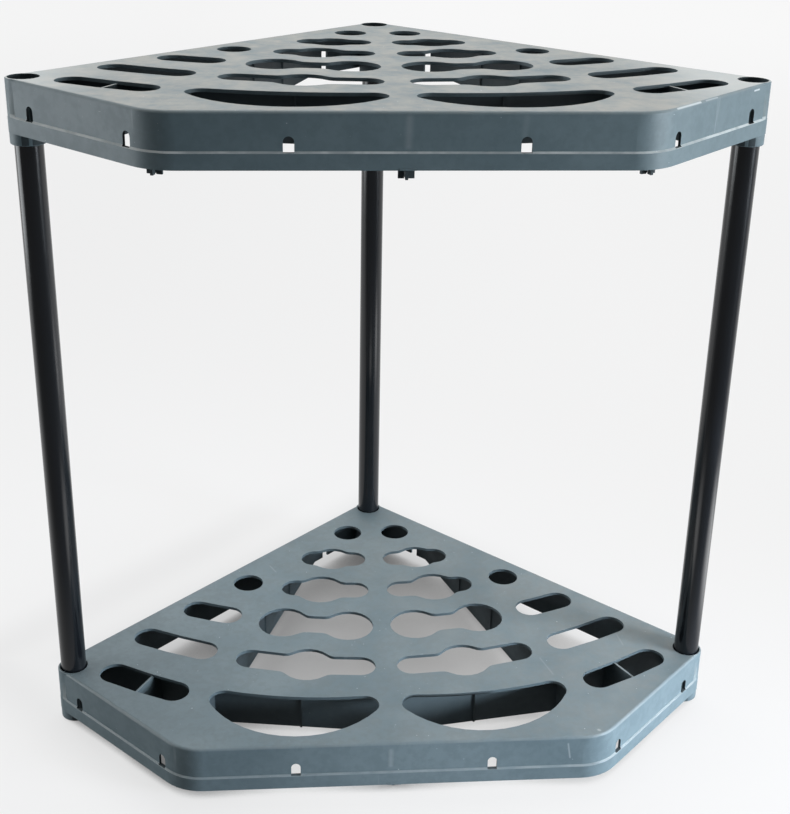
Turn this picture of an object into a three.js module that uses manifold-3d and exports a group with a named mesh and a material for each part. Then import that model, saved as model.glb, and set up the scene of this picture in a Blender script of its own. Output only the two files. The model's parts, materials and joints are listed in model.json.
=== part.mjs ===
// A freestanding corner rack for long-handled garden tools.
// Two identical moulded trays are held one above the other by three tubes.
// Millimetres, +Z up. The square back corner points along +Y and the straight front faces -Y.
// The origin is the middle of the bounding box on the floor.

import * as THREE from 'three';
import { mergeVertices } from 'three/addons/utils/BufferGeometryUtils.js';
import Module from 'manifold-3d';

const wasm = await Module();
wasm.setup();

// Layout of the three posts in plan. The back post is as far behind the side posts as they are
// from the middle, which makes the back corner square.
const POST_HALF_SPACING = 300;
const FRONT_FACE = 131; // front face, ahead of the side posts
const FIT_GAP = 0.3; // least gap between two pieces that touch

// Tubes
const TUBE_DIAMETER = 23.6;
const TUBE_WALL = 1;
const TUBE_LENGTH = 560;

// Tray walls
const DECK_THICKNESS = 3;
const SKIRT_HEIGHT = 44; // deck top to the lower edge of the skirt
const SKIRT_WALL = 2.2;
const FACE_OFFSET = 14; // skirt faces, outside the line of the post centres
const TOP_ROUND = 2.8; // rounding between deck and skirt
const FRONT_CORNER_RADIUS = 45;
const BAND_HEIGHT = 14; // lower band of the front and slanted faces
const BAND_STEP = 1.6; // how far that band stands proud, which makes the ledge
const BAND_CHAMFER = 1.4; // slope along the band's upper edge
const FOOT_DROP = 10; // feet and socket ends reach this far below the skirt

// Sockets at the three post corners
const SOCKET_OUTER_RADIUS = 14.8;
const SOCKET_BORE_RADIUS = 13;
const SOCKET_WEB = 3; // stop in the middle of the socket, which the tube end meets
const SOCKET_END_ROUND = 0.6;
const GRIP_COUNT = 6;
const GRIP_THICKNESS = 1.6;
const GRIP_MOUTH_SETBACK = 5; // the grip ribs start this far inside each mouth

// Holes in the deck. The rows lie on arcs of one radius, bowed to the front.
const ROW_ARC_RADIUS = 485;
const SLOT_RADIUS = 14.5;
const HOLE_RADIUS = 15.6;
const BULGE_RADIUS = 25.3;
const SMALL_BULGE_RADIUS = 21.5;
const NECK_FILLET = 12;

// Front pair of pockets
const POCKET_FRONT_RADIUS = 91.5;
const POCKET_FRONT_CENTRE = { x: 84.4, y: -25.6 };
const POCKET_REAR_RADIUS = 371.8;
const POCKET_REAR_CENTRE = { x: 46.7, y: 309.4 };
const POCKET_CORNER_RADIUS = 13.3;

// Windows in the skirt
const WINDOW_WIDTH = 8.3;
const WINDOW_HEIGHT = 12.2;
const SILL_BELOW_LEDGE = 1;
const FRONT_WINDOW_FROM_MIDDLE = 88;
const SLANT_WINDOWS_FROM_CORNER = [26, 146.3]; // from the square front corner
const BACK_NOTCH_FROM_CORNER = 76; // from the square corner at each end

// Ribs under the deck
const RIB_THICKNESS = 2;
const RIB_BITE = 1; // ribs run this far into what they join
const STRIP_PROUD = 1.4;
const STRIP_WIDTH = 2;

// Front feet, each four short blades round an open middle
const FOOT_SPREAD = 12.6;
const FOOT_BLADE = 2.2;
const FOOT_CORE_RADIUS = 2;
const FOOT_CORE_DEPTH = 14;
const MIDDLE_FOOT_FROM_FACE = 15.5; // foot centre, behind the front face
const CORNER_FOOT_FROM_FACE = 21; // foot centre, behind the slanted face
const LIP_WIDTH = 12.4;
const LIP_HEIGHT = 1.6;
const LIP_PROUD = 0.4;

// How finely curves are divided
const STEP_ANGLE = Math.PI / 12;
const LONG_ARC_STEP_ANGLE = Math.PI / 90;
const BORE_SIDES = 32;
const TUBE_SIDES = 32;
const OVERRUN = 5; // cutters run this far past what they cut
const MERGE_TOLERANCE = 1e-4;

// Sizes that follow from those above
const TRAY_HEIGHT = SKIRT_HEIGHT + FOOT_DROP;
const DECK_UNDERSIDE = TRAY_HEIGHT - DECK_THICKNESS;
const BAND_TOP = FOOT_DROP + BAND_HEIGHT;
const WINDOW_SILL = BAND_TOP - SILL_BELOW_LEDGE;
const WEB_TOP = (TRAY_HEIGHT + SOCKET_WEB) / 2;
const WEB_BOTTOM = (TRAY_HEIGHT - SOCKET_WEB) / 2;
const GRIP_RADIUS = TUBE_DIAMETER / 2 + FIT_GAP;
const TRAY_SPACING = TUBE_LENGTH + SOCKET_WEB + 2 * FIT_GAP;
const DIAGONAL = Math.SQRT1_2;
const DEPTH_BEHIND = POST_HALF_SPACING + SOCKET_OUTER_RADIUS;
const DEPTH_AHEAD = FRONT_FACE + BAND_STEP + LIP_PROUD;
const MIDDLE_Y = (DEPTH_BEHIND - DEPTH_AHEAD) / 2;
const CORNER_LINE = POST_HALF_SPACING + FACE_OFFSET / DIAGONAL; // where a back face would cross y = 0
const POSTS = {
  left: { x: -POST_HALF_SPACING, y: 0 },
  right: { x: POST_HALF_SPACING, y: 0 },
  back: { x: 0, y: POST_HALF_SPACING },
};

// Plan points
// A point on a circle.
function onCircle(centre, radius, angle) {
  return new THREE.Vector2(centre.x + radius * Math.cos(angle), centre.y + radius * Math.sin(angle));
}

// Points along an arc whose radius may change evenly from start to end.
function arc(centre, startRadius, endRadius, start, end, step = STEP_ANGLE) {
  const count = Math.max(1, Math.round(Math.abs(end - start) / step));
  const points = [];
  for (let i = 0; i <= count; i += 1) {
    const share = i / count;
    const radius = startRadius + (endRadius - startRadius) * share;
    points.push(onCircle(centre, radius, start + (end - start) * share));
  }
  return points;
}

// The same points on the other half of the tray, still counter-clockwise.
function mirrored(points) {
  return points.map((p) => new THREE.Vector2(-p.x, p.y)).reverse();
}

// Tray outline, counter-clockwise, with the back faces and the front faces each at its own offset
// outside the post centres.
function trayOutline(backOffset, frontOffset) {
  const cornerRadius = FRONT_CORNER_RADIUS + frontOffset - FACE_OFFSET;
  const cornerY = FRONT_CORNER_RADIUS - FRONT_FACE;
  const cornerX = cornerY + POST_HALF_SPACING + (FACE_OFFSET - FRONT_CORNER_RADIUS) / DIAGONAL;
  const frontRight = { x: cornerX, y: cornerY };
  const rightHalf = [
    ...arc(frontRight, cornerRadius, cornerRadius, -Math.PI / 2, -Math.PI / 4, STEP_ANGLE / 2),
    ...arc(POSTS.right, frontOffset, backOffset, -Math.PI / 4, Math.PI / 4),
    ...arc(POSTS.back, backOffset, backOffset, Math.PI / 4, Math.PI / 2),
  ];
  const leftHalf = mirrored(rightHalf);
  leftHalf.shift();
  return [...rightHalf, ...leftHalf];
}

// Solids
// A closed body from rings of plan points at rising heights.
function loft(rings) {
  const count = rings[0].points.length;
  const positions = [];
  for (const ring of rings) {
    for (const p of ring.points) positions.push(p.x, p.y, ring.z);
  }
  const faces = [];
  for (let r = 0; r + 1 < rings.length; r += 1) {
    for (let i = 0; i < count; i += 1) {
      const a = r * count + i;
      const b = r * count + ((i + 1) % count);
      faces.push(a, b, b + count, a, b + count, a + count);
    }
  }
  const top = (rings.length - 1) * count;
  for (const [a, b, c] of THREE.ShapeUtils.triangulateShape(rings[0].points, [])) {
    faces.push(a, c, b);
    faces.push(top + a, top + b, top + c);
  }
  const geometry = new THREE.BufferGeometry();
  geometry.setAttribute('position', new THREE.Float32BufferAttribute(positions, 3));
  geometry.setIndex(faces);
  return geometry;
}

// An upright prism from a plan outline.
function prism(points, bottom, top) {
  return loft([{ z: bottom, points }, { z: top, points }]);
}

// A body turned round an upright axis from (radius, height) pairs.
function turned(profile, sides, centre = { x: 0, y: 0 }) {
  const geometry = new THREE.LatheGeometry(profile.map(([r, z]) => new THREE.Vector2(r, z)), sides);
  geometry.rotateX(Math.PI / 2);
  geometry.translate(centre.x, centre.y, 0);
  return geometry;
}

// A manifold solid from a three.js geometry.
function solid(geometry) {
  const plain = geometry.clone();
  plain.deleteAttribute('normal');
  plain.deleteAttribute('uv');
  const merged = mergeVertices(plain, MERGE_TOLERANCE);
  const body = new wasm.Manifold(new wasm.Mesh({
    numProp: 3,
    vertProperties: new Float32Array(merged.attributes.position.array),
    triVerts: new Uint32Array(merged.index.array),
  }));
  return body.volume() < 0 ? turnedOut(merged) : body;
}

// The same solid with its faces turned to point out.
function turnedOut(merged) {
  const index = Uint32Array.from(merged.index.array);
  for (let i = 0; i < index.length; i += 3) [index[i], index[i + 1]] = [index[i + 1], index[i]];
  return new wasm.Manifold(new wasm.Mesh({
    numProp: 3,
    vertProperties: new Float32Array(merged.attributes.position.array),
    triVerts: index,
  }));
}

// A three.js geometry from a manifold solid.
function fromSolid(body) {
  const mesh = body.getMesh();
  const geometry = new THREE.BufferGeometry();
  const corners = new Float32Array(mesh.vertProperties);
  geometry.setAttribute('position', new THREE.BufferAttribute(corners, 3));
  geometry.setIndex(new THREE.BufferAttribute(new Uint32Array(mesh.triVerts), 1));
  geometry.computeVertexNormals();
  return geometry;
}

function joined(bodies) {
  return bodies.reduce((whole, body) => whole.add(body));
}

// Each body with its mirror image across the middle of the tray.
function bothSides(points, bottom, top) {
  return [solid(prism(points, bottom, top)), solid(prism(mirrored(points), bottom, top))];
}

// Tray shell
// Rings of the skirt and deck. The band's sloped top is the ledge, and the deck's edge is rounded.
function shellRings() {
  const proud = FACE_OFFSET + BAND_STEP;
  const edge = [0, 1, 2, 3].map((step) => {
    const angle = step * 2 * STEP_ANGLE;
    const inset = FACE_OFFSET - TOP_ROUND * (1 - Math.cos(angle));
    return { z: TRAY_HEIGHT - TOP_ROUND * (1 - Math.sin(angle)), points: trayOutline(inset, inset) };
  });
  return [
    { z: FOOT_DROP, points: trayOutline(FACE_OFFSET, proud) },
    { z: BAND_TOP - BAND_CHAMFER, points: trayOutline(FACE_OFFSET, proud) },
    { z: BAND_TOP, points: trayOutline(FACE_OFFSET, proud - BAND_CHAMFER) },
    { z: BAND_TOP + (BAND_STEP - BAND_CHAMFER) / 2, points: trayOutline(FACE_OFFSET, FACE_OFFSET) },
    ...edge,
  ];
}

function trayShell() {
  const inner = FACE_OFFSET - SKIRT_WALL;
  const cavity = solid(prism(trayOutline(inner, inner), FOOT_DROP - OVERRUN, DECK_UNDERSIDE));
  return solid(loft(shellRings())).subtract(cavity);
}

// Deck holes
// Where a row crosses the middle of the tray, ahead of or behind the side posts.
const ROWS = [
  { y: 241, holes: [{ kind: 'round', at: 26.9 }] },
  { y: 183, holes: [{ kind: 'bulged', from: 24.2, bulge: 46.3, to: 66, bulgeRadius: SMALL_BULGE_RADIUS }] },
  {
    y: 120,
    holes: [
      { kind: 'bulged', from: 24.2, bulge: 60.2, to: 87.6, bulgeRadius: BULGE_RADIUS },
      { kind: 'round', at: 139 },
    ],
  },
  {
    y: 53.5,
    holes: [
      { kind: 'waisted', from: 34, to: 99.9 },
      { kind: 'slot', from: 159, to: 192.8 },
    ],
  },
  {
    y: -15.5,
    holes: [
      { kind: 'bulged', from: 24.8, bulge: 76.5, to: 132.6, bulgeRadius: BULGE_RADIUS },
      { kind: 'slot', from: 182.2, to: 242.8 },
    ],
  },
  { y: -89.5, holes: [{ kind: 'slot', from: 207.4, to: 273.1 }] },
];

// A point given by its distance along a row's arc and across it, towards the back.
function onRow(row, along, across) {
  const angle = along / ROW_ARC_RADIUS;
  const radius = ROW_ARC_RADIUS - across;
  return new THREE.Vector2(radius * Math.sin(angle), row.y + ROW_ARC_RADIUS - radius * Math.cos(angle));
}

// Upper half of a hole's outline, from its inner end to its outer end, as (along, across) points.
function slotHalf({ from, to }) {
  const middle = (from + to) / 2;
  return [
    ...arc({ x: from, y: 0 }, SLOT_RADIUS, SLOT_RADIUS, Math.PI, Math.PI / 2),
    new THREE.Vector2(middle, SLOT_RADIUS),
    ...arc({ x: to, y: 0 }, SLOT_RADIUS, SLOT_RADIUS, Math.PI / 2, 0),
  ];
}

// The fillet where a bulge meets the straight side of a slot, on the bulge's inner side.
function neckBefore(bulge, bulgeRadius) {
  const height = SLOT_RADIUS + NECK_FILLET;
  const reach = bulgeRadius + NECK_FILLET;
  const run = Math.sqrt(reach * reach - height * height);
  const centre = { x: bulge - run, y: height };
  const meet = Math.atan2(-height, run);
  return { points: arc(centre, NECK_FILLET, NECK_FILLET, -Math.PI / 2, meet), meet: Math.PI + meet };
}

// The same fillet on the bulge's outer side.
function neckAfter(bulge, bulgeRadius) {
  const before = neckBefore(bulge, bulgeRadius);
  const points = before.points.map((p) => new THREE.Vector2(2 * bulge - p.x, p.y)).reverse();
  return { points, meet: Math.PI - before.meet };
}

function bulgedHalf({ from, bulge, to, bulgeRadius }) {
  const before = neckBefore(bulge, bulgeRadius);
  const after = neckAfter(bulge, bulgeRadius);
  return [
    ...arc({ x: from, y: 0 }, SLOT_RADIUS, SLOT_RADIUS, Math.PI, Math.PI / 2),
    ...before.points,
    ...arc({ x: bulge, y: 0 }, bulgeRadius, bulgeRadius, before.meet, after.meet),
    ...after.points,
    ...arc({ x: to, y: 0 }, SLOT_RADIUS, SLOT_RADIUS, Math.PI / 2, 0),
  ];
}

function waistedHalf({ from, to }) {
  const after = neckAfter(from, BULGE_RADIUS);
  const before = neckBefore(to, BULGE_RADIUS);
  return [
    ...arc({ x: from, y: 0 }, BULGE_RADIUS, BULGE_RADIUS, Math.PI, after.meet),
    ...after.points,
    ...before.points,
    ...arc({ x: to, y: 0 }, BULGE_RADIUS, BULGE_RADIUS, before.meet, 0),
  ];
}

function roundHalf({ at }) {
  return arc({ x: at, y: 0 }, HOLE_RADIUS, HOLE_RADIUS, Math.PI, 0);
}

const HALF_OUTLINES = { round: roundHalf, slot: slotHalf, bulged: bulgedHalf, waisted: waistedHalf };

// A list of points without neighbours that lie on the same spot.
function withoutRepeats(points) {
  return points.filter((p, i) => p.distanceTo(points[(i + 1) % points.length]) > MERGE_TOLERANCE);
}

// Whole outline of one hole in plan, counter-clockwise.
function holeOutline(row, hole) {
  const back = HALF_OUTLINES[hole.kind](hole);
  const front = back.map((p) => new THREE.Vector2(p.x, -p.y)).reverse();
  const outline = withoutRepeats([...back, ...front]).map((p) => onRow(row, p.x, p.y));
  return THREE.ShapeUtils.isClockWise(outline) ? outline.reverse() : outline;
}

// Where a corner fillet of the front pocket has its centre, on the left or right.
function pocketCorner(side) {
  const a = new THREE.Vector2(POCKET_FRONT_CENTRE.x, POCKET_FRONT_CENTRE.y);
  const b = new THREE.Vector2(POCKET_REAR_CENTRE.x, POCKET_REAR_CENTRE.y);
  const ra = POCKET_FRONT_RADIUS - POCKET_CORNER_RADIUS;
  const rb = POCKET_REAR_RADIUS + POCKET_CORNER_RADIUS;
  const gap = a.distanceTo(b);
  const along = (gap * gap + ra * ra - rb * rb) / (2 * gap);
  const off = Math.sqrt(ra * ra - along * along);
  const unit = b.clone().sub(a).divideScalar(gap);
  return new THREE.Vector2(
    a.x + unit.x * along + side * unit.y * off,
    a.y + unit.y * along - side * unit.x * off,
  );
}

function angleFrom(centre, point) {
  return Math.atan2(point.y - centre.y, point.x - centre.x);
}

// Crescent outline of the front pocket, counter-clockwise.
function pocketOutline() {
  const left = pocketCorner(-1);
  const right = pocketCorner(1);
  const frontLeft = angleFrom(POCKET_FRONT_CENTRE, left);
  const frontRight = angleFrom(POCKET_FRONT_CENTRE, right);
  const rearLeft = angleFrom(POCKET_REAR_CENTRE, left);
  const rearRight = angleFrom(POCKET_REAR_CENTRE, right);
  const start = frontLeft > 0 ? frontLeft - 2 * Math.PI : frontLeft;
  const round = (centre, radius, from, to, step) => arc(centre, radius, radius, from, to, step);
  return withoutRepeats([
    ...round(POCKET_FRONT_CENTRE, POCKET_FRONT_RADIUS, start, frontRight, STEP_ANGLE / 2),
    ...round(right, POCKET_CORNER_RADIUS, frontRight, rearRight + Math.PI),
    ...round(POCKET_REAR_CENTRE, POCKET_REAR_RADIUS, rearRight, rearLeft, LONG_ARC_STEP_ANGLE),
    ...round(left, POCKET_CORNER_RADIUS, rearLeft + Math.PI, start + 2 * Math.PI),
  ]);
}

function deckCutters() {
  const outlines = ROWS.flatMap((row) => row.holes.map((hole) => holeOutline(row, hole)));
  outlines.push(pocketOutline());
  return outlines.flatMap((points) => bothSides(points, DECK_UNDERSIDE - OVERRUN, TRAY_HEIGHT + OVERRUN));
}

// Ribs
// Corners of a straight wall in plan.
function wallOutline(start, end, thickness) {
  const side = new THREE.Vector2(start.y - end.y, end.x - start.x).setLength(thickness / 2);
  return [
    new THREE.Vector2(start.x - side.x, start.y - side.y),
    new THREE.Vector2(end.x - side.x, end.y - side.y),
    new THREE.Vector2(end.x + side.x, end.y + side.y),
    new THREE.Vector2(start.x + side.x, start.y + side.y),
  ];
}

// Where a line comes to a given depth behind the back face on the right.
function meetBack(start, direction, depth) {
  const run = (CORNER_LINE - depth / DIAGONAL - start.x - start.y) / (direction.x + direction.y);
  return start.clone().addScaledVector(direction, run);
}

// Where a line comes to a given depth behind the slanted face on the right.
function meetSlant(start, direction, depth) {
  const run = (CORNER_LINE - depth / DIAGONAL - start.x + start.y) / (direction.x - direction.y);
  return start.clone().addScaledVector(direction, run);
}

// Rib lines on the right half: a long one from the back face to the front corner, and a bent one
// from the middle, behind the pockets, to the back face near the side post.
const LONG_RIB_AT_BACK = 65.2; // from the middle, where it meets the back face
const LONG_RIB_SLOPE_SHARE = 0.348; // sideways run as a share of its run to the front
const CROSS_RIB_MIDDLE_Y = -58;
const CROSS_RIB_KNEE_Y = -33.5;
const CROSS_RIB_OUTER_ANGLE = Math.PI * 0.153;

function ribPlan() {
  const inWall = SKIRT_WALL / 2;
  const longStart = new THREE.Vector2(LONG_RIB_AT_BACK, CORNER_LINE - inWall / DIAGONAL - LONG_RIB_AT_BACK);
  const longWay = new THREE.Vector2(LONG_RIB_SLOPE_SHARE, -1);
  const knee = longStart.clone().addScaledVector(longWay, longStart.y - CROSS_RIB_KNEE_Y);
  const outerWay = new THREE.Vector2(Math.cos(CROSS_RIB_OUTER_ANGLE), Math.sin(CROSS_RIB_OUTER_ANGLE));
  return {
    longStart,
    longWay,
    longEnd: meetSlant(longStart, longWay, inWall),
    knee,
    middle: new THREE.Vector2(0, CROSS_RIB_MIDDLE_Y),
    outerWay,
    outerEnd: meetBack(knee, outerWay, inWall),
    foot: meetSlant(longStart, longWay, CORNER_FOOT_FROM_FACE),
  };
}

// The short rib that crosses under the middle of the outermost slot, square to it.
function slotRib(plan) {
  const row = ROWS[ROWS.length - 1];
  const [{ from, to }] = row.holes;
  const along = (from + to) / 2;
  const centre = onRow(row, along, 0);
  const out = centre.clone().sub(onRow(row, along, SLOT_RADIUS)).normalize();
  const normal = new THREE.Vector2(-plan.outerWay.y, plan.outerWay.x);
  const back = plan.knee.clone().sub(centre).dot(normal) / out.dot(normal);
  return [centre.clone().addScaledVector(out, back), meetSlant(centre, out, SKIRT_WALL / 2)];
}

function ribWalls() {
  const plan = ribPlan();
  const lines = [
    [plan.longStart, plan.longEnd],
    [plan.middle, plan.knee],
    [plan.knee, plan.outerEnd],
    slotRib(plan),
  ];
  const top = DECK_UNDERSIDE + RIB_BITE;
  const walls = lines.flatMap(([a, b]) => bothSides(wallOutline(a, b, RIB_THICKNESS), FOOT_DROP, top));
  return [...walls, ...ribStrips(plan, top)];
}

// Low upright strips on the ribs, at these shares of the long rib's and the cross rib's length.
const LONG_RIB_STRIP_SHARES = [0.23, 0.42];
const CROSS_RIB_STRIP_SHARES = [0.5];

function stripOn(start, end, share, side) {
  const foot = start.clone().lerp(end, share);
  const normal = new THREE.Vector2(start.y - end.y, end.x - start.x).normalize().multiplyScalar(side);
  const tip = foot.clone().addScaledVector(normal, RIB_THICKNESS / 2 + STRIP_PROUD);
  return wallOutline(foot, tip, STRIP_WIDTH);
}

function ribStrips(plan, top) {
  const outlines = [
    ...LONG_RIB_STRIP_SHARES.map((share) => stripOn(plan.longStart, plan.longEnd, share, -1)),
    ...CROSS_RIB_STRIP_SHARES.map((share) => stripOn(plan.middle, plan.knee, share, -1)),
  ];
  return outlines.flatMap((points) => bothSides(points, FOOT_DROP, top));
}

// Sockets
// Outside of one socket, rounded at both ends.
function socketBody(post) {
  const r = SOCKET_OUTER_RADIUS;
  const e = SOCKET_END_ROUND;
  return solid(turned([
    [0, 0], [r - e, 0], [r, e], [r, TRAY_HEIGHT - e], [r - e, TRAY_HEIGHT], [0, TRAY_HEIGHT],
  ], BORE_SIDES, post));
}

// The two blind bores, one from each end, with the stop left between them.
function socketBores(post) {
  const bore = (bottom, top) => solid(turned([
    [0, bottom], [SOCKET_BORE_RADIUS, bottom], [SOCKET_BORE_RADIUS, top], [0, top],
  ], BORE_SIDES, post));
  return [bore(-OVERRUN, WEB_BOTTOM), bore(WEB_TOP, TRAY_HEIGHT + OVERRUN)];
}

// Grip ribs that hold the tube in the middle of the bore.
function socketGrips(post) {
  const grips = [];
  for (let i = 0; i < GRIP_COUNT; i += 1) {
    const angle = (i / GRIP_COUNT) * 2 * Math.PI;
    const start = onCircle(post, GRIP_RADIUS, angle);
    const end = onCircle(post, (SOCKET_BORE_RADIUS + SOCKET_OUTER_RADIUS) / 2, angle);
    const outline = wallOutline(start, end, GRIP_THICKNESS);
    grips.push(solid(prism(outline, GRIP_MOUTH_SETBACK, TRAY_HEIGHT - GRIP_MOUTH_SETBACK)));
  }
  return grips;
}

// Front feet
function footBlades(centre, turn) {
  const blades = [turn, turn + Math.PI / 2].map((angle) => {
    const start = onCircle(centre, -FOOT_SPREAD / 2, angle);
    const end = onCircle(centre, FOOT_SPREAD / 2, angle);
    return solid(prism(wallOutline(start, end, FOOT_BLADE), 0, DECK_UNDERSIDE + RIB_BITE));
  });
  const core = turned([
    [0, -OVERRUN], [FOOT_CORE_RADIUS, -OVERRUN], [FOOT_CORE_RADIUS, FOOT_CORE_DEPTH], [0, FOOT_CORE_DEPTH],
  ], BORE_SIDES / 2, centre);
  return joined(blades).subtract(solid(core));
}

// One foot in the middle, and one at the front end of each long rib, in line with it.
function frontFeet() {
  const { foot, longWay } = ribPlan();
  return [
    footBlades({ x: 0, y: MIDDLE_FOOT_FROM_FACE - FRONT_FACE }, 0),
    footBlades(foot, longWay.angle()),
    footBlades({ x: -foot.x, y: foot.y }, -longWay.angle()),
  ];
}

// A low lip on the skirt's lower edge, ahead of the middle foot.
function frontLip() {
  const face = -FRONT_FACE - BAND_STEP;
  const points = [
    new THREE.Vector2(-LIP_WIDTH / 2, face - LIP_PROUD),
    new THREE.Vector2(LIP_WIDTH / 2, face - LIP_PROUD),
    new THREE.Vector2(LIP_WIDTH / 2, face + RIB_BITE),
    new THREE.Vector2(-LIP_WIDTH / 2, face + RIB_BITE),
  ];
  return solid(prism(points, FOOT_DROP, FOOT_DROP + LIP_HEIGHT));
}

// Skirt windows
// Arch-topped outline of a window, standing on its sill.
function windowShape(sill, top) {
  const half = WINDOW_WIDTH / 2;
  const shape = new THREE.Shape();
  shape.moveTo(-half, sill);
  shape.lineTo(half, sill);
  shape.lineTo(half, top - half);
  shape.absarc(0, top - half, half, 0, Math.PI, false);
  return shape;
}

// A cutter through a skirt face, at a plan point on that face and turned to face the same way.
function windowCutter(shape, x, y, turn) {
  const depth = 2 * (SKIRT_WALL + BAND_STEP);
  const geometry = new THREE.ExtrudeGeometry(shape, {
    depth, bevelEnabled: false, curveSegments: Math.round(Math.PI / STEP_ANGLE / 2),
  });
  geometry.translate(0, 0, -depth / 2);
  geometry.rotateX(Math.PI / 2);
  geometry.rotateZ(turn);
  geometry.translate(x, y, 0);
  return solid(geometry);
}

// Two windows in the front face and in each slanted face, and two notches in each back face.
function windowCutters() {
  const top = WINDOW_SILL + WINDOW_HEIGHT;
  const arch = windowShape(WINDOW_SILL, top);
  const notch = windowShape(FOOT_DROP - OVERRUN, top);
  const frontCornerX = CORNER_LINE - FRONT_FACE;
  const notchRuns = [BACK_NOTCH_FROM_CORNER, CORNER_LINE / DIAGONAL - BACK_NOTCH_FROM_CORNER];
  return [-1, 1].flatMap((side) => [
    windowCutter(arch, side * FRONT_WINDOW_FROM_MIDDLE, -FRONT_FACE, 0),
    ...SLANT_WINDOWS_FROM_CORNER.map((from) => {
      const run = from * DIAGONAL;
      return windowCutter(arch, side * (frontCornerX + run), run - FRONT_FACE, side * Math.PI / 4);
    }),
    ...notchRuns.map((from) => {
      const run = from * DIAGONAL;
      return windowCutter(notch, side * run, CORNER_LINE - run, side * -Math.PI / 4);
    }),
  ]);
}

// Whole tray
// The windows are cut before the ribs and sockets are added, so they cut only the skirt.
function trayGeometry() {
  const posts = Object.values(POSTS);
  const shell = trayShell().subtract(joined([...deckCutters(), ...windowCutters()]));
  const filled = joined([shell, ...ribWalls(), ...posts.map(socketBody), ...frontFeet(), frontLip()]);
  const bored = filled.subtract(joined(posts.flatMap(socketBores)));
  return fromSolid(joined([bored, ...posts.flatMap(socketGrips)]));
}

// One tube, open at both ends.
function tubeGeometry() {
  const outer = TUBE_DIAMETER / 2;
  const inner = outer - TUBE_WALL;
  return turned([
    [inner, 0], [outer, 0], [outer, TUBE_LENGTH], [inner, TUBE_LENGTH], [inner, 0],
  ], TUBE_SIDES);
}

// Materials
const trayPlastic = new THREE.MeshStandardMaterial({ color: 0x6f8084, roughness: 0.62, metalness: 0 });
const tubeCoat = new THREE.MeshStandardMaterial({ color: 0x16181a, roughness: 0.22, metalness: 0 });

function node(name, geometry, material, x, y, z) {
  const mesh = new THREE.Mesh(geometry, material);
  mesh.name = name;
  mesh.position.set(x, y, z);
  return mesh;
}

// Assembly
const rack = new THREE.Group();
const plan = new THREE.Group();
plan.position.y = -MIDDLE_Y;
rack.add(plan);

const tray = trayGeometry();
plan.add(node('lower_tray', tray, trayPlastic, 0, 0, 0));
plan.add(node('upper_tray', tray, trayPlastic, 0, 0, TRAY_SPACING));

const tube = tubeGeometry();
for (const [name, post] of Object.entries(POSTS)) {
  plan.add(node(`${name}_tube`, tube, tubeCoat, post.x, post.y, WEB_TOP + FIT_GAP));
}

rack.updateMatrixWorld(true);
export default rack;
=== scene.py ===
"""Looks of the corner garden tool rack: two moulded trays held apart by three coated tubes."""

import json
import math

import bmesh
import bpy
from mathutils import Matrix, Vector
from mathutils.bvhtree import BVHTree

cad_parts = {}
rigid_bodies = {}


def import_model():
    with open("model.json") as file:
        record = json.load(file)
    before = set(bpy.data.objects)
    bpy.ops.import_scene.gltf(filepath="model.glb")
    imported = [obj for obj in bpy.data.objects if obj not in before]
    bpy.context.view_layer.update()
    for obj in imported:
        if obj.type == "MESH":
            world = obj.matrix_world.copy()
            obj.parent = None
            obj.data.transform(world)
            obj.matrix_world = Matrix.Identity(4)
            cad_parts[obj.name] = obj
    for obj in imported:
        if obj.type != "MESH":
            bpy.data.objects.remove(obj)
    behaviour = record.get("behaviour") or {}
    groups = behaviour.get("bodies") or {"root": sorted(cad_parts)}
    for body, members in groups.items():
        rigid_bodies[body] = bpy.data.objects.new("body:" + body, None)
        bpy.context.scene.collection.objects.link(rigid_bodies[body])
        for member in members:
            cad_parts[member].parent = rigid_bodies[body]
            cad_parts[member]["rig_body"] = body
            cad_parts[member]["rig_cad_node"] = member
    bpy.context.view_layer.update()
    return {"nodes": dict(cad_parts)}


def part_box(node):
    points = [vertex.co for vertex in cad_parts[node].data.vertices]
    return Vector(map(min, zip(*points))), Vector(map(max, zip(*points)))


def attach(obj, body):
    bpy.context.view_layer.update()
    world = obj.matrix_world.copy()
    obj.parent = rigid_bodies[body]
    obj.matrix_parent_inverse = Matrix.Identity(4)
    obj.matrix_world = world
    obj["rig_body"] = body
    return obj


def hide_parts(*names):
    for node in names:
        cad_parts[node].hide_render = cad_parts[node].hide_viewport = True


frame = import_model()

MM = 0.001
DIAGONAL = math.sqrt(0.5)  # a step along x, measured across a side that stands at 45 degrees

# Trays: places on the moulding, and the roundings of its edges
DECK_THICKNESS = 3 * MM
LEDGE_BELOW_DECK = 30 * MM
LEDGE_SLOPE_HEIGHT = 1.4 * MM
SOCKET_REACH = 15 * MM  # an edge nearer than this to a post's centre belongs to its socket
HOLE_LIP_ROUND = 0.7 * MM
HOLE_LIP_STEPS = 4
SOCKET_MOUTH_ROUND = 0.4 * MM
SOCKET_MOUTH_STEPS = 3

# Tubes
TUBE_WALL = 1 * MM
TUBE_END_ROUND = 0.3 * MM
TUBE_END_STEPS = 3
TUBE_SIDES = 96

# Faces and edges
MERGE_DISTANCE = 0.002 * MM
LEVEL_TOLERANCE = 0.01 * MM
SKIN = 0.02 * MM  # how far off a face its outlook starts
INSIDE_REACH = 400 * MM  # a wall that faces another wall nearer than this is inside the moulding
FLAT_DEGREES = 0.2  # faces that meet at less than this are one flat face
SMOOTH_DEGREES = 38  # faces that meet at less than this are shaded as one surface
TRAY_CORNER_DEGREES = 55  # faces that meet at more than this make a corner
TUBE_CORNER_DEGREES = 60  # the same on a tube
DOWNWARD = -0.9  # the normal of a face that looks down points up by less than this
UPRIGHT = 0.5  # the normal of an upright face points up or down by less than this

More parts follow.
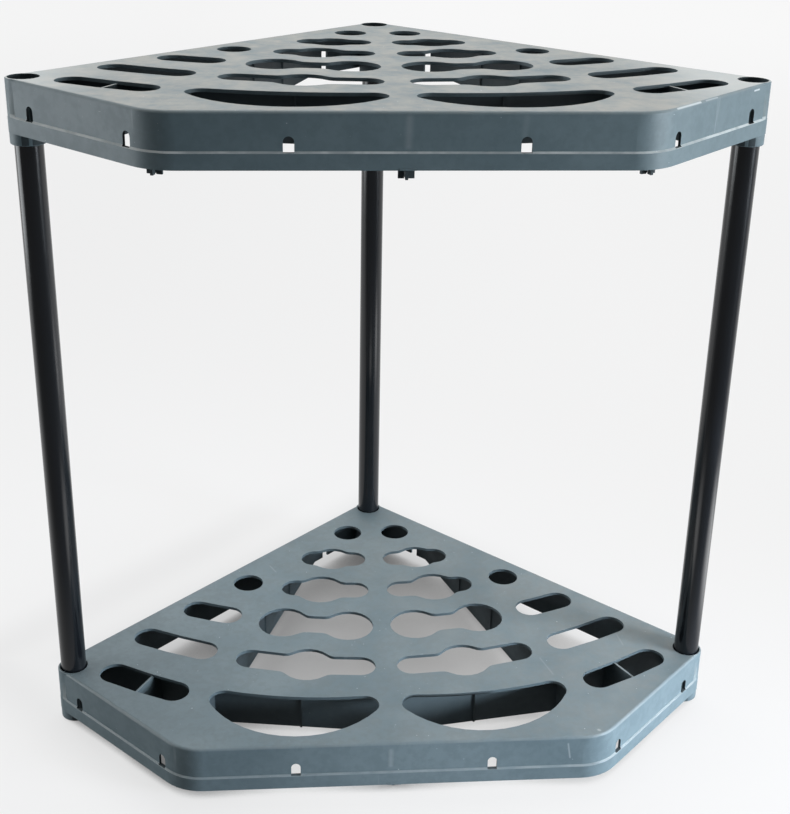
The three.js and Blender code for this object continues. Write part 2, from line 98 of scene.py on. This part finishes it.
# Notes on a tray's faces: the inside of the moulding, and the rims of its holes, where shade is painted
NOTES = "inside"
INSIDE_NOTE = 1
RIM_NOTE = 0.5

# Camera
CAMERA_PLACE = (-0.0848, -1.1735, 0.8153)
CAMERA_TURN_DEGREES = (68.157, -1.05, -4.246)
CAMERA_LENS_MM = 58.36
CAMERA_SENSOR_MM = 36
CAMERA_SHIFT_UP_SHARE = -0.0737

# Floor: a grey paper that glows until it is nearly white
FLOOR_SIZE = 60
FLOOR_COLOUR = (0.12, 0.121, 0.123)
GLOW_NEAR = 0.77
GLOW_FAR = 0.865
GLOW_RADII = (0.6, 5)  # from the near glow to the far one
GLOW_SLOPE = 0.03  # how much brighter the floor is a metre further right
GLOW_SLOPE_REACH = 0.5  # how far that goes on to each side

# Shade on the floor, as a share of its glow. To the right it fades to its rest, from start to end.
NEAR_SHADE = {"share": 0.85, "rest": 0.4, "start": 0, "end": 0.25}
UNDER_SHADE = {"share": 0.57, "rest": 0.35, "start": 0.03, "end": 0.24}
EDGE_SHADE = {"share": 0.07, "rest": 0, "start": -0.22, "end": -0.02}
NEAR_SHADE_REACH = 0.09  # how near something has to be to shade the floor
NEAR_SHADE_OPENNESS = (0.05, 0.62)  # how open a place is, from full shade to none
NEAR_SHADE_SAMPLES = 16
UNDER_SHADE_DEPTHS = (0.02, 0.2)  # how far inside the outline of the trays, from no shade to full shade
EDGE_SHADE_REACH = 0.06  # how far it spreads to both sides of that outline

# Outline of the trays in plan
TRAY_BACK_LINE = 0.4118  # sum of x and y along the right back face
TRAY_SLANT_LINE = 0.4107  # x less y along the right slanted face
TRAY_FRONT_LINE = -0.2219  # y along the front face

# Surroundings
SKY_SEEN = 0.91  # how bright the background is
SKY_FRONT = 0.03  # what scattered light finds on the side of the camera
SKY_BACK = 0.95
SKY_TURN = (-0.1, 0.8)  # how far back, from the front of the sky to its back
SKY_SIDE_SHARE = 0.6  # how far back the sides of the sky count
GLOSS_FRONT_SHARE = 0.15  # what gloss finds of the bright surroundings on the side of the camera
GLOSS_BACK_SHARE = 1.33
GLOSS_FLOOR_TURN = (-0.45, 0.1)  # y, from the front of the floor to its back

# Bright patches of floor that the tubes mirror: place, radius, strength
GLOSS_PATCHES = (
    ((0.02, -0.33), 0.2, 1.9),
    ((0.64, -0.13), 0.25, 3),
)
GLOSS_PATCH_CORE_SHARE = 0.3  # how much of the radius has the full strength

# Soft lamps: name, place, aim, width and height, power, colour, spread in degrees
LAMPS = (
    ("softbox_right", (1.04, -0.57, 0.6), (0.1, -0.15, 0.6), (0.6, 0.3), 1.5, (0.92, 1, 1.06), 60),
    ("softbox_low_right", (1.12, -0.63, 0.3), (0.12, -0.15, 0.04), (0.4, 0.25), 2.3, (0.92, 1, 1.1), 50),
    ("softbox_left", (-1.4, 0, 0.4), (-0.2, -0.1, 0.27), (0.9, 0.6), 1.95, (0.95, 1, 1.03), 90),
    ("softbox_top", (0, 0.5, 2.5), (0, 0, 0.3), (2, 2), 33, (1, 1, 1), 180),
)

# Colours of the plastic and the coat, as linear light
PLASTIC_SLATE = (0.128, 0.180, 0.203)
PLASTIC_SLATE_PALE = (0.158, 0.214, 0.238)
PLASTIC_BLOTCH = (0.095, 0.137, 0.157)
# pale dust, which also serves as the painted sheen of the decks seen at a grazing angle
PLASTIC_DUST_AND_SHEEN = (0.400, 0.390, 0.355)
# dark colour of the painted shade at the left end of the lower deck
PLASTIC_PAINTED_SHADE = (0.075, 0.070, 0.062)
# pale colour of the painted highlights on the deck ends and the ledge
PLASTIC_HIGHLIGHT = (0.62, 0.66, 0.66)
PLASTIC_SCUFF = (0.75, 0.79, 0.80)
# dark colour of the painted shade inside the moulding and on the rims of its holes
PLASTIC_INSIDE_SHADE = (0.030, 0.042, 0.048)
TUBE_BLACK = (0.0058, 0.0072, 0.0095)
TUBE_HAZE = (0.018, 0.021, 0.026)

# Patterns: how fine to the metre, detail and roughness. Runs and haze are stretched along each axis.
MOTTLE = (13, 4, 0.6)
CLOUDS = (45, 3, 0.55)
PATCHES = (150, 3, 0.6)
SPECKS = (420, 1, 0.4)
GRAIN = (1500, 2, 0.6)
RUNS = (1, 3, 0.6)
RUN_STRETCH = (90, 90, 7)
COAT_HAZE = (1, 3, 0.55)
COAT_HAZE_STRETCH = (60, 60, 9)
COAT_PEEL = (260, 2, 0.5)
COAT_SPECKS = (600, 1, 0.4)

# How far up the normal points, from where a kind of surface starts to where it is whole
FLATS_START = (0.9, 0.99)
LIPS_START = (0.12, 0.4)
LIPS_END = (0.93, 0.995)
WALLS_END = (0.2, 0.5)

# The notes, from where rims and inside start to where they are whole
NOTE_MARGIN = 0.1
RIMS_START = (NOTE_MARGIN, RIM_NOTE - NOTE_MARGIN)
INSIDE_START = (RIM_NOTE + NOTE_MARGIN, INSIDE_NOTE - NOTE_MARGIN)

# Strength of a pattern, from where a finish starts to where it is whole
PALE_START = (0.3, 0.75)
BLOTCH_START = (0.42, 0.6)
DUST_AND_SHEEN_START = (0.3, 0.7)
LEDGE_HIGHLIGHT_START = (0.35, 0.65)
STREAKS_START = (0.66, 0.8)
SPECKS_START = (0.79, 0.83)
HAZE_START = (0.45, 0.8)
COAT_SPECKS_START = (0.8, 0.84)

# Places along the deck, over which the painted highlight at its ends and the painted shade at its left
# end start or end
HIGHLIGHT_ENDS_START = (0.2, 0.3)
HIGHLIGHT_ENDS_LEAN = 0.08  # how much nearer to the middle they start on the right
PAINTED_SHADE_LEFT_END = (-0.3, -0.08)

# Shares of the patterns and finishes
BLOTCH_CLOUDS_SHARE = 0.45
BLOTCH_PATCHES_SHARE = 0.55
BLOTCH_SHARE = 0.3
BLOTCH_MORE_ON_FLATS = 0.15
DUST_AND_SHEEN_MOTTLE_SHARE = 0.4
DUST_AND_SHEEN_CLOUDS_SHARE = 0.35
DUST_AND_SHEEN_PATCHES_SHARE = 0.25
LIP_DUST_AND_HIGHLIGHT_SHARE = 0.3
LEDGE_HIGHLIGHT_LEAST_SHARE = 0.45
STREAKS_SHARE = 0.2
SPECKS_SHARE = 0.5
MARK_SOFT_SHARE = 0.8  # how much of its width a mark's soft edge reaches out from its middle
HAZE_SHARE = 0.35
COAT_SPECKS_SHARE = 0.4

# Roughness and small relief
PLASTIC_ROUGHNESS = 0.38
ROUGHER_IN_CLOUDS = 0.12
ROUGHER_IN_PATCHES = 0.1
ROUGHER_ON_FLATS = 0.06
ROUGHER_INSIDE = 0.2
PLASTIC_IOR = 1.42
GRAIN_DEPTH = 0.06 * MM
GRAIN_STRENGTH = 0.6
CLOUDS_DEPTH = 0.4 * MM
CLOUDS_STRENGTH = 0.35
COAT_ROUGHNESS = 0.12
ROUGHER_IN_HAZE = 0.12
COAT_IOR = 1.5
PEEL_DEPTH = 0.05 * MM
PEEL_STRENGTH = 0.5

# Wear of a tray and the light and shade painted on it, as shares. A metre further right the dust and
# painted sheen change by the share of painted light from the right.
LOWER_WEAR_AND_PAINTED_LIGHT = {
    "dust_and_sheen": 0.2,
    "painted_light_right": 0.55,
    "painted_highlight_ends": 0,
    "painted_shade_left": 0.25,
    "ledge": 0.17,
    "inside": 0.65,
    "rims": 0.5,
}
UPPER_WEAR_AND_PAINTED_LIGHT = {
    "dust_and_sheen": 0.9,
    "painted_light_right": 0,
    "painted_highlight_ends": 0.6,
    "painted_shade_left": 0,
    "ledge": 0.9,
    "inside": 0.9,
    "rims": 0.3,
}

# Rubbed marks: start and end in mm, width in mm, share of the scuffed colour
LOWER_MARKS = (
    ((-3.5, -221.9, 30), (-3.5, -221.9, 46), 4, 0.12),
    ((156, -221.9, 47), (158.5, -221.9, 32), 1.6, 0.25),
    ((151.3, -101.1, 54), (159.3, -127.6, 54), 1.8, 0.08),
    ((236.2, -65.8, 54), (238.2, -83.3, 54), 1.8, 0.08),
    ((185.2, -212.6, 54), (185.8, -213.2, 54), 3, 0.3),
    ((-114.6, 82.1, 54), (-108, 69.4, 54), 1.8, 0.1),
)
UPPER_MARKS = (
    ((204, -206.2, 617.0), (229, -181.2, 617.0), 2.0, 0.9),
    ((235, -175.2, 617.0), (248, -162.2, 617.0), 1.6, 0.5),
    ((292.5, -118.2, 613.6), (298.5, -112.2, 613.6), 1.5, 0.8),
    ((0, -221.9, 592), (0.5, -221.9, 612), 6, 0.11),
    ((86, -221.9, 600), (87, -221.9, 613), 5, 0.05),
)


# Working on one piece at a time
def only(piece):
    """Makes this piece the one that is worked on."""
    bpy.ops.object.select_all(action="DESELECT")
    bpy.context.view_layer.objects.active = piece
    piece.select_set(True)


def start_edit(piece):
    only(piece)
    bpy.ops.object.mode_set(mode="EDIT")
    bpy.ops.mesh.select_mode(type="EDGE")


def end_edit():
    bpy.ops.object.mode_set(mode="OBJECT")


def pick_edges(piece, wanted):
    """Selects the edges that pass a test, in edit mode."""
    bpy.ops.mesh.select_all(action="DESELECT")
    shape = bmesh.from_edit_mesh(piece.data)
    for edge in shape.edges:
        edge.select_set(wanted(edge))
    bmesh.update_edit_mesh(piece.data)


def flatten_shading(piece):
    """Keeps big faces flat and lets only the roundings between them blend."""
    bpy.ops.object.shade_smooth_by_angle(angle=math.radians(SMOOTH_DEGREES))
    weights = piece.modifiers.new("flat faces", "WEIGHTED_NORMAL")
    weights.keep_sharp = True
    bpy.ops.object.modifier_apply(modifier=weights.name)


# Trays
def is_corner(edge):
    """True for a sharp outer corner."""
    if len(edge.link_faces) != 2 or not edge.is_convex:
        return False
    return math.degrees(edge.calc_face_angle(0)) > TRAY_CORNER_DEGREES


def at_level(edge, height):
    return all(abs(corner.co.z - height) < LEVEL_TOLERANCE for corner in edge.verts)


def near_post(edge, posts):
    middle = (edge.verts[0].co + edge.verts[1].co).to_2d() / 2
    return any((middle - post).length < SOCKET_REACH for post in posts)


def post_centres():
    """Where the tubes stand in plan."""
    centres = []
    for name in ("left_tube", "right_tube", "back_tube"):
        low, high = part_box(name)
        centres.append(((low + high) / 2).to_2d())
    return centres


def note_inside(tray, deck):
    """Notes which faces are on the inside of the moulding and which are rims of its holes, where shade is
    painted.
    """
    mesh = tray.data
    walls = BVHTree.FromPolygons([v.co for v in mesh.vertices], [p.vertices for p in mesh.polygons])
    notes = mesh.attributes.new(NOTES, "FLOAT", "FACE")
    underside = deck - DECK_THICKNESS
    for face, note in zip(mesh.polygons, notes.data):
        under_deck = face.normal.z < DOWNWARD and abs(face.center.z - underside) < SKIN
        start = face.center + face.normal * SKIN
        facing = walls.ray_cast(start, face.normal, INSIDE_REACH)[0] is not None
        if under_deck or (facing and face.center.z < underside):
            note.value = INSIDE_NOTE
        elif facing and abs(face.normal.z) < UPRIGHT:
            note.value = RIM_NOTE


def moulded_tray(node, name):
    """A tray as it leaves the moulding tool, with its hole lips and socket mouths rounded."""
    only(frame["nodes"][node])
    bpy.ops.object.duplicate()
    tray = bpy.context.active_object
    tray.name = name
    tray.data.name = name
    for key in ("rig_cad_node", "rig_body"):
        if key in tray:
            del tray[key]
    tray.parent = None
    posts = post_centres()
    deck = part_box(node)[1].z

    start_edit(tray)
    bpy.ops.mesh.select_all(action="SELECT")
    bpy.ops.mesh.remove_doubles(threshold=MERGE_DISTANCE)
    bpy.ops.mesh.select_all(action="SELECT")
    bpy.ops.mesh.dissolve_limited(angle_limit=math.radians(FLAT_DEGREES))
    pick_edges(tray, lambda e: is_corner(e) and at_level(e, deck) and not near_post(e, posts))
    bpy.ops.mesh.bevel(offset=HOLE_LIP_ROUND, segments=HOLE_LIP_STEPS, affect="EDGES", clamp_overlap=True)
    pick_edges(tray, lambda e: is_corner(e) and at_level(e, deck) and near_post(e, posts))
    bpy.ops.mesh.bevel(
        offset=SOCKET_MOUTH_ROUND, segments=SOCKET_MOUTH_STEPS, affect="EDGES", clamp_overlap=True
    )
    end_edit()
    note_inside(tray, deck)
    flatten_shading(tray)
    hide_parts(node)
    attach(tray, "rack")
    return tray


# Tubes
def coated_tube(node, name):
    """A drawn tube with its cut ends broken."""
    low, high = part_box(node)
    radius = (high.x - low.x) / 2
    centre = (low + high) / 2
    bpy.ops.object.select_all(action="DESELECT")
    bpy.ops.mesh.primitive_circle_add(
        vertices=TUBE_SIDES, radius=radius, location=(centre.x, centre.y, low.z)
    )
    tube = bpy.context.active_object
    tube.name = name
    tube.data.name = name
    bpy.ops.object.transform_apply(location=True, rotation=True, scale=True)

    start_edit(tube)
    bpy.ops.mesh.select_all(action="SELECT")
    bpy.ops.mesh.extrude_region_move(TRANSFORM_OT_translate={"value": (0, 0, high.z - low.z)})
    bpy.ops.mesh.select_all(action="SELECT")
    bpy.ops.mesh.normals_make_consistent(inside=False)
    end_edit()
    wall = tube.modifiers.new("wall", "SOLIDIFY")
    wall.thickness = TUBE_WALL
    wall.offset = -1
    bpy.ops.object.modifier_apply(modifier=wall.name)
    ends = tube.modifiers.new("broken ends", "BEVEL")
    ends.width = TUBE_END_ROUND
    ends.segments = TUBE_END_STEPS
    ends.limit_method = "ANGLE"
    ends.angle_limit = math.radians(TUBE_CORNER_DEGREES)
    bpy.ops.object.modifier_apply(modifier=ends.name)
    flatten_shading(tube)
    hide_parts(node)
    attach(tube, "rack")
    return tube


# Shader maths. A Mix node has a set of sockets for each kind of data, and these are for colours.
MIX_SHARE, MIX_UNDER, MIX_OVER, MIX_RESULT = 0, 6, 7, 2


class Value:
    """A shader socket whose sums, products and powers make Math nodes."""

    def __init__(self, finish, socket):
        self.finish = finish
        self.socket = socket

    def maths(self, operation, *others):
        inputs = dict(enumerate(others))
        return self.finish.value("ShaderNodeMath", "Value", {"operation": operation}, inputs)

    def __add__(self, other):
        return self.maths("ADD", self, other)

    def __radd__(self, other):
        return self.maths("ADD", other, self)

    def __sub__(self, other):
        return self.maths("SUBTRACT", self, other)

    def __rsub__(self, other):
        return self.maths("SUBTRACT", other, self)

    def __mul__(self, other):
        return self.maths("MULTIPLY", self, other)

    def __rmul__(self, other):
        return self.maths("MULTIPLY", other, self)

    def __pow__(self, other):
        return self.maths("POWER", self, other)

    def least(self, other):
        return self.maths("MINIMUM", self, other)

    def most(self, other):
        return self.maths("MAXIMUM", self, other)

    def size(self):
        return self.maths("ABSOLUTE", self)


class Finish:
    """The node tree of one material or of the studio's surroundings."""

    def __init__(self, owner):
        owner.use_nodes = True
        self.tree = owner.node_tree
        self.tree.nodes.clear()

    def feed(self, place, value):
        if isinstance(value, Value):
            self.tree.links.new(value.socket, place)
        elif isinstance(value, bpy.types.NodeSocket):
            self.tree.links.new(value, place)
        else:
            place.default_value = value

    def node(self, kind, settings=None, inputs=None):
        """Adds a node: its settings first, then the values or links of its sockets."""
        node = self.tree.nodes.new(kind)
        for name, value in (settings or {}).items():
            setattr(node, name, value)
        for name, value in (inputs or {}).items():
            self.feed(node.inputs[name], value)
        return node

    def value(self, kind, output, settings=None, inputs=None):
        return Value(self, self.node(kind, settings, inputs).outputs[output])

    def seat(self, stretch=(1, 1, 1)):
        """Object coordinates, stretched along each axis."""
        place = self.node("ShaderNodeTexCoord").outputs["Object"]
        inputs = {"Vector": place, "Scale": stretch}
        return self.node("ShaderNodeMapping", {"vector_type": "POINT"}, inputs).outputs["Vector"]

    def parts(self, vector):
        """The x, y and z parts of a vector."""
        split = self.node("ShaderNodeSeparateXYZ", None, {"Vector": vector})
        return [Value(self, split.outputs[axis]) for axis in ("X", "Y", "Z")]

    def upward(self):
        """How far up the surface's normal points."""
        return self.parts(self.node("ShaderNodeNewGeometry").outputs["Normal"])[2]

    def noise(self, pattern, stretch=(1, 1, 1)):
        scale, detail, roughness = pattern
        inputs = {"Vector": self.seat(stretch), "Scale": scale, "Detail": detail, "Roughness": roughness}
        return self.value("ShaderNodeTexNoise", "Fac", None, inputs)

    def rise(self, value, low, high):
        """0 below low, 1 above high, smooth between."""
        inputs = {"Value": value, "From Min": low, "From Max": high}
        return self.value("ShaderNodeMapRange", "Result", {"interpolation_type": "SMOOTHSTEP"}, inputs)

    def fading(self, value, share, rest, start, end):
        """A share of which only a rest is left where the value is past its end."""
        return share * (1 - (1 - rest) * self.rise(value, start, end))

    def mix(self, share, under, over):
        """A colour between two, by a share."""
        under, over = [(*colour, 1) if isinstance(colour, tuple) else colour for colour in (under, over)]
        inputs = {MIX_SHARE: share, MIX_UNDER: under, MIX_OVER: over}
        return self.node("ShaderNodeMix", {"data_type": "RGBA"}, inputs).outputs[MIX_RESULT]

    def stroke(self, seat, start, end, width):
        """Share of a soft-edged line between two points."""
        along = Vector(end) - Vector(start)
        offset = self.node("ShaderNodeVectorMath", {"operation": "SUBTRACT"}, {0: seat, 1: start})
        parts = {0: offset.outputs["Vector"], 1: along / along.length_squared}
        reach = self.value("ShaderNodeVectorMath", "Value", {"operation": "DOT_PRODUCT"}, parts)
        parts = {0: along, "Scale": reach.least(1).most(0)}
        foot = self.node("ShaderNodeVectorMath", {"operation": "SCALE"}, parts)
        parts = {0: offset.outputs["Vector"], 1: foot.outputs["Vector"]}
        gap = self.value("ShaderNodeVectorMath", "Value", {"operation": "DISTANCE"}, parts)
        return 1 - self.rise(gap, 0, width * MARK_SOFT_SHARE)

    def bump(self, height, distance, strength, under=None):
        inputs = {"Height": height, "Distance": distance, "Strength": strength}
        if under is not None:
            inputs["Normal"] = under
        return self.node("ShaderNodeBump", None, inputs).outputs["Normal"]

    def close(self, inputs):
        """Closes a material with its Principled shader."""
        shader = self.node("ShaderNodeBsdfPrincipled", None, inputs)
        self.node("ShaderNodeOutputMaterial", None, {"Surface": shader.outputs["BSDF"]})


# Finishes
def tray_plastic(name, node, wear_and_painted_light, marks):
    """Grey-green moulded plastic: mottled, finely grained, with rubbed marks, dust and painted sheen on
    top, painted highlights on its ledge and deck ends, and painted shade inside.
    """
    material = bpy.data.materials.new(name)
    f = Finish(material)
    seat = f.seat()
    aside, _, height = f.parts(seat)
    up = f.upward()
    mottle = f.noise(MOTTLE)
    clouds = f.noise(CLOUDS)
    patches = f.noise(PATCHES)

    # Kinds of surface
    flats = f.rise(up, *FLATS_START)
    lips = f.rise(up, *LIPS_START) * (1 - f.rise(up, *LIPS_END))
    walls = 1 - f.rise(up.size(), *WALLS_END)
    from_ledge = (height - (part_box(node)[1].z - LEDGE_BELOW_DECK - LEDGE_SLOPE_HEIGHT / 2)).size()
    ledge = lips * (1 - f.rise(from_ledge, LEDGE_SLOPE_HEIGHT, 2 * LEDGE_SLOPE_HEIGHT))
    note = f.value("ShaderNodeAttribute", "Fac", {"attribute_name": NOTES})
    inside = f.rise(note, *INSIDE_START)
    rims = f.rise(note, *RIMS_START) * (1 - inside)

    # How much of each finish, painted highlight and painted shade there is
    pale = f.rise(mottle, *PALE_START)
    blotch = f.rise(clouds * BLOTCH_CLOUDS_SHARE + patches * BLOTCH_PATCHES_SHARE, *BLOTCH_START)
    dust_and_sheen_pattern = mottle * DUST_AND_SHEEN_MOTTLE_SHARE + clouds * DUST_AND_SHEEN_CLOUDS_SHARE + patches * DUST_AND_SHEEN_PATCHES_SHARE
    dust_and_sheen = flats * f.rise(dust_and_sheen_pattern, *DUST_AND_SHEEN_START)
    # The share that grows to the right on the lower deck paints light falling from the right
    dust_and_sheen_share = (wear_and_painted_light["dust_and_sheen"] + wear_and_painted_light["painted_light_right"] * aside).most(0)
    painted_highlight_ends = flats * f.rise(aside.size() + HIGHLIGHT_ENDS_LEAN * aside, *HIGHLIGHT_ENDS_START)
    painted_shade_left = flats * (1 - f.rise(aside, *PAINTED_SHADE_LEFT_END))
    ledge_highlight_breakup = LEDGE_HIGHLIGHT_LEAST_SHARE + (1 - LEDGE_HIGHLIGHT_LEAST_SHARE) * f.rise(clouds, *LEDGE_HIGHLIGHT_START)
    streaks = f.rise(f.noise(RUNS, RUN_STRETCH), *STREAKS_START) * walls
    specks = f.rise(f.noise(SPECKS), *SPECKS_START)

    # Colour, from the plastic outwards
    colour = f.mix(pale, PLASTIC_SLATE, PLASTIC_SLATE_PALE)
    colour = f.mix(blotch * (BLOTCH_SHARE + BLOTCH_MORE_ON_FLATS * flats), colour, PLASTIC_BLOTCH)
    # Dust on the flats, partly a painted sheen
    colour = f.mix(dust_and_sheen * dust_and_sheen_share, colour, PLASTIC_DUST_AND_SHEEN)
    # Paler deck ends: a painted highlight
    colour = f.mix(painted_highlight_ends * wear_and_painted_light["painted_highlight_ends"], colour, PLASTIC_HIGHLIGHT)
    # Darker left end of the lower deck: painted shade
    colour = f.mix(painted_shade_left * wear_and_painted_light["painted_shade_left"], colour, PLASTIC_PAINTED_SHADE)
    # Pale on the rounded lips: dust and a painted highlight on the roundings
    colour = f.mix(lips * LIP_DUST_AND_HIGHLIGHT_SHARE * clouds, colour, PLASTIC_DUST_AND_SHEEN)
    # A pale line on the ledge: a painted highlight where its slope catches the light
    colour = f.mix(ledge * ledge_highlight_breakup * wear_and_painted_light["ledge"], colour, PLASTIC_HIGHLIGHT)
    colour = f.mix(streaks * STREAKS_SHARE, colour, PLASTIC_SCUFF)
    colour = f.mix(specks * SPECKS_SHARE, colour, PLASTIC_SCUFF)
    # Dark inside the moulding and on the rims of its holes: painted shade
    colour = f.mix(inside * wear_and_painted_light["inside"] + rims * wear_and_painted_light["rims"], colour, PLASTIC_INSIDE_SHADE)
    for start, end, width, share in marks:
        start, end = [[part * MM for part in point] for point in (start, end)]
        colour = f.mix(f.stroke(seat, start, end, width * MM) * share, colour, PLASTIC_SCUFF)

    rough = PLASTIC_ROUGHNESS + ROUGHER_IN_CLOUDS * clouds + ROUGHER_IN_PATCHES * patches
    rough = rough + ROUGHER_ON_FLATS * flats + ROUGHER_INSIDE * inside
    normal = f.bump(f.noise(GRAIN), GRAIN_DEPTH, GRAIN_STRENGTH)
    normal = f.bump(clouds, CLOUDS_DEPTH, CLOUDS_STRENGTH, normal)
    f.close({"Base Color": colour, "Roughness": rough, "Normal": normal, "IOR": PLASTIC_IOR})
    return material


def tube_coat(name):
    """Gloss black coat, slightly hazy along the tube, with a faint orange peel."""
    material = bpy.data.materials.new(name)
    f = Finish(material)
    haze = f.noise(COAT_HAZE, COAT_HAZE_STRETCH)
    specks = f.rise(f.noise(COAT_SPECKS), *COAT_SPECKS_START)
    colour = f.mix(f.rise(haze, *HAZE_START) * HAZE_SHARE, TUBE_BLACK, TUBE_HAZE)
    colour = f.mix(specks * COAT_SPECKS_SHARE, colour, TUBE_HAZE)
    rough = COAT_ROUGHNESS + ROUGHER_IN_HAZE * haze
    normal = f.bump(f.noise(COAT_PEEL), PEEL_DEPTH, PEEL_STRENGTH)
    f.close({"Base Color": colour, "Roughness": rough, "Normal": normal, "IOR": COAT_IOR})
    return material


def dress(piece, material):
    """Gives a piece this finish alone."""
    piece.data.materials.clear()
    piece.data.materials.append(material)


# Studio
def seen_and_shiny(f):
    """Shares of what is seen straight on, and of what is seen in gloss or through glass."""
    path = f.node("ShaderNodeLightPath")
    seen = Value(f, path.outputs["Is Camera Ray"])
    shiny = Value(f, path.outputs["Is Glossy Ray"]).most(Value(f, path.outputs["Is Transmission Ray"]))
    return seen, (1 - seen) * shiny


def tray_depth(aside, back):
    """How far a place is inside the outline of the trays."""
    side = aside.size()
    slant = (TRAY_BACK_LINE - side - back).least(TRAY_SLANT_LINE - side + back) * DIAGONAL
    return slant.least(back - TRAY_FRONT_LINE)


def floor_glow(f, seat, aside, back):
    """The glow of the floor with the soft shade of the rack on it."""
    reach = f.value("ShaderNodeVectorMath", "Value", {"operation": "LENGTH"}, {0: seat})
    right = aside.least(GLOW_SLOPE_REACH).most(-GLOW_SLOPE_REACH) * GLOW_SLOPE
    glow = GLOW_NEAR + (GLOW_FAR - GLOW_NEAR) * f.rise(reach, *GLOW_RADII) + right
    settings = {"samples": NEAR_SHADE_SAMPLES}
    openness = f.value("ShaderNodeAmbientOcclusion", "AO", settings, {"Distance": NEAR_SHADE_REACH})
    near = 1 - f.rise(openness, *NEAR_SHADE_OPENNESS)
    depth = tray_depth(aside, back)
    under = f.rise(depth, *UNDER_SHADE_DEPTHS)
    edge = f.rise(depth, -EDGE_SHADE_REACH, 0) * (1 - f.rise(depth, 0, EDGE_SHADE_REACH))
    for shade, amount in ((NEAR_SHADE, near), (UNDER_SHADE, under), (EDGE_SHADE, edge)):
        glow = glow * (1 - f.fading(aside, **shade) * amount)
    return glow


def floor_gloss(f, aside, back):
    """How bright the floor is where something glossy mirrors it."""
    gloss = GLOSS_FRONT_SHARE + (1 - GLOSS_FRONT_SHARE) * f.rise(back, *GLOSS_FLOOR_TURN)
    for (patch_aside, patch_back), radius, strength in GLOSS_PATCHES:
        away = ((aside - patch_aside) ** 2 + (back - patch_back) ** 2) ** 0.5
        gloss = gloss + strength * (1 - f.rise(away, radius * GLOSS_PATCH_CORE_SHARE, radius))
    return gloss


def add_floor():
    """A pale seamless floor, darker in gloss on the side of the camera."""
    bpy.ops.object.select_all(action="DESELECT")
    bpy.ops.mesh.primitive_plane_add(size=FLOOR_SIZE)
    floor = bpy.context.active_object
    floor.name = "floor"
    material = bpy.data.materials.new("floor_paper")
    f = Finish(material)
    seat = f.seat()
    aside, back, _ = f.parts(seat)
    seen, shiny = seen_and_shiny(f)
    brightness = floor_glow(f, seat, aside, back) * (seen + shiny * floor_gloss(f, aside, back))
    paper = f.node("ShaderNodeBsdfDiffuse", None, {"Color": (*FLOOR_COLOUR, 1)})
    glow = f.node("ShaderNodeEmission", None, {"Color": brightness})
    both = f.node("ShaderNodeAddShader", None, {0: paper.outputs["BSDF"], 1: glow.outputs["Emission"]})
    f.node("ShaderNodeOutputMaterial", None, {"Surface": both.outputs["Shader"]})
    dress(floor, material)


def add_surroundings():
    """White surroundings, dimmer for light and gloss on the side of the camera."""
    world = bpy.data.worlds.new("studio")
    bpy.context.scene.world = world
    f = Finish(world)
    aside, back, _ = f.parts(f.node("ShaderNodeTexCoord").outputs["Generated"])
    seen, shiny = seen_and_shiny(f)
    behind = f.rise(back + SKY_SIDE_SHARE * aside.size(), *SKY_TURN)
    scattered = SKY_FRONT + (SKY_BACK - SKY_FRONT) * behind
    gloss = GLOSS_FRONT_SHARE + (GLOSS_BACK_SHARE - GLOSS_FRONT_SHARE) * behind
    brightness = SKY_SEEN * (seen + shiny * gloss) + scattered * (1 - seen - shiny)
    sky = f.node("ShaderNodeBackground", None, {"Color": brightness})
    f.node("ShaderNodeOutputWorld", None, {"Surface": sky.outputs["Background"]})


def add_softbox(name, place, aim, size, power, colour, spread_degrees):
    light = bpy.data.lights.new(name, "AREA")
    light.color = colour
    light.spread = math.radians(spread_degrees)
    light.shape = "RECTANGLE"
    light.size, light.size_y = size
    light.energy = power
    lamp = bpy.data.objects.new(name, light)
    lamp.location = place
    lamp.rotation_euler = (Vector(aim) - Vector(place)).to_track_quat("-Z", "Y").to_euler()
    lamp.visible_camera = False
    bpy.context.scene.collection.objects.link(lamp)


def add_camera():
    lens = bpy.data.cameras.new("camera")
    lens.lens = CAMERA_LENS_MM
    lens.sensor_width = CAMERA_SENSOR_MM
    lens.shift_y = CAMERA_SHIFT_UP_SHARE
    camera = bpy.data.objects.new("camera", lens)
    camera.location = CAMERA_PLACE
    camera.rotation_euler = [math.radians(turn) for turn in CAMERA_TURN_DEGREES]
    bpy.context.scene.collection.objects.link(camera)
    bpy.context.scene.camera = camera


add_camera()
add_surroundings()
add_floor()
for lamp in LAMPS:
    add_softbox(*lamp)
bpy.context.scene.view_settings.view_transform = "Standard"

coat = tube_coat("tube_coat")
for level, wear_and_painted_light, marks in (("lower", LOWER_WEAR_AND_PAINTED_LIGHT, LOWER_MARKS), ("upper", UPPER_WEAR_AND_PAINTED_LIGHT, UPPER_MARKS)):
    plastic = tray_plastic(f"{level}_tray_plastic", f"{level}_tray", wear_and_painted_light, marks)
    dress(moulded_tray(f"{level}_tray", f"{level}_moulded_tray"), plastic)
for side in ("left", "right", "back"):
    dress(coated_tube(f"{side}_tube", f"{side}_coated_tube"), coat)
